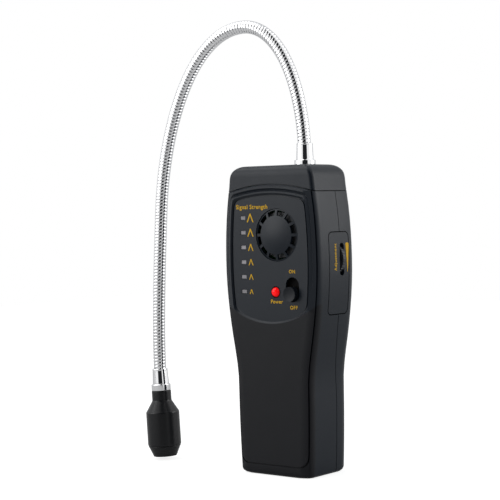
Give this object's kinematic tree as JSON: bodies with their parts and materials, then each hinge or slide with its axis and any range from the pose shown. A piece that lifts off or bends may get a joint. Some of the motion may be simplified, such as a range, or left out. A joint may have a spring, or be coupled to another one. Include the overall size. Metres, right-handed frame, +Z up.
{
  "type": "refrigerant leak detector",
  "caption": "Hand-held gas leak detector: a moulded housing with a lamp and switch panel, a flexible metal gooseneck that arches to one side, and a sensor head that hangs at its end.",
  "frame": {"origin": "middle of the flat base that the housing stands on", "axes": "+X to the right of the panel, +Y to the back, +Z up along the housing"},
  "size_m": [0.1303, 0.0377, 0.2423],
  "materials": {
    "housing_plastic": "satin",
    "control_plastic": "satin",
    "component_plastic": "satin",
    "red_lens": "gloss",
    "lamp_lens": "satin",
    "board": "satin",
    "screw_steel": "satin",
    "cell_case": "satin",
    "chrome": "polished",
    "neck_chrome": "polished",
    "head_plastic": "satin",
    "seal_rubber": "matte",
    "sensor_metal": "satin"
  },
  "bodies": {
    "housing": {"front_shell": "housing_plastic", "rear_shell": "housing_plastic", "top_cap": "housing_plastic", "side_insert": "housing_plastic", "battery_tray": "control_plastic", "buzzer": "control_plastic", "potentiometer": "component_plastic", "slide_switch": "component_plastic", "power_led": "red_lens", "indicator_led_1": "lamp_lens", "indicator_led_2": "lamp_lens", "indicator_led_3": "lamp_lens", "indicator_led_4": "lamp_lens", "indicator_led_5": "lamp_lens", "indicator_led_6": "lamp_lens", "circuit_board": "board", "board_screws": "screw_steel", "case_screws": "screw_steel", "neck_washer": "screw_steel", "neck_nut": "screw_steel", "battery_contact_1": "screw_steel", "battery_contact_2": "screw_steel", "battery_contact_3": "screw_steel", "battery_contact_4": "screw_steel", "battery_contact_5": "screw_steel", "battery_cell_1": "cell_case", "battery_cell_2": "cell_case", "battery_cell_3": "cell_case", "battery_cell_4": "cell_case", "lower_ferrule": "chrome"},
    "knob": {"switch_knob": "control_plastic"},
    "wheel": {"thumbwheel": "control_plastic"},
    "door": {"battery_door": "housing_plastic", "door_screw": "screw_steel"},
    "neck": {"gooseneck": "neck_chrome"},
    "head": {"upper_ferrule": "chrome", "sensor_housing": "head_plastic", "sensor_seal": "seal_rubber", "sensor_element": "sensor_metal", "sensor_tip": "head_plastic"}
  },
  "joints": [
    {"name": "power_switch", "type": "slide", "parent": "housing", "child": "knob", "axis": [0, 0, 1], "range_m": [0, 0.0044]},
    {"name": "sensitivity", "type": "hinge", "parent": "housing", "child": "wheel", "pos_m": [0.02395, 0.0046, 0.1132], "axis": [0, 1, 0], "range_deg": [-135, 135]},
    {"name": "door_lift", "type": "slide", "parent": "housing", "child": "door", "axis": [0, 1, 0], "range_m": [0, 0.03]},
    {"name": "neck_bend", "type": "hinge", "parent": "housing", "child": "neck", "pos_m": [0.0087, 0.00082, 0.193], "axis": [-0.0785, 0.9969, 0], "range_deg": [0, 60], "deforming": ["gooseneck"]},
    {"name": "head_aim", "type": "hinge", "parent": "neck", "child": "head", "pos_m": [-0.0889, -0.00686, 0.082], "axis": [-0.0785, 0.9969, 0], "range_deg": [-20, 50], "deforming": ["gooseneck"]}
  ]
}
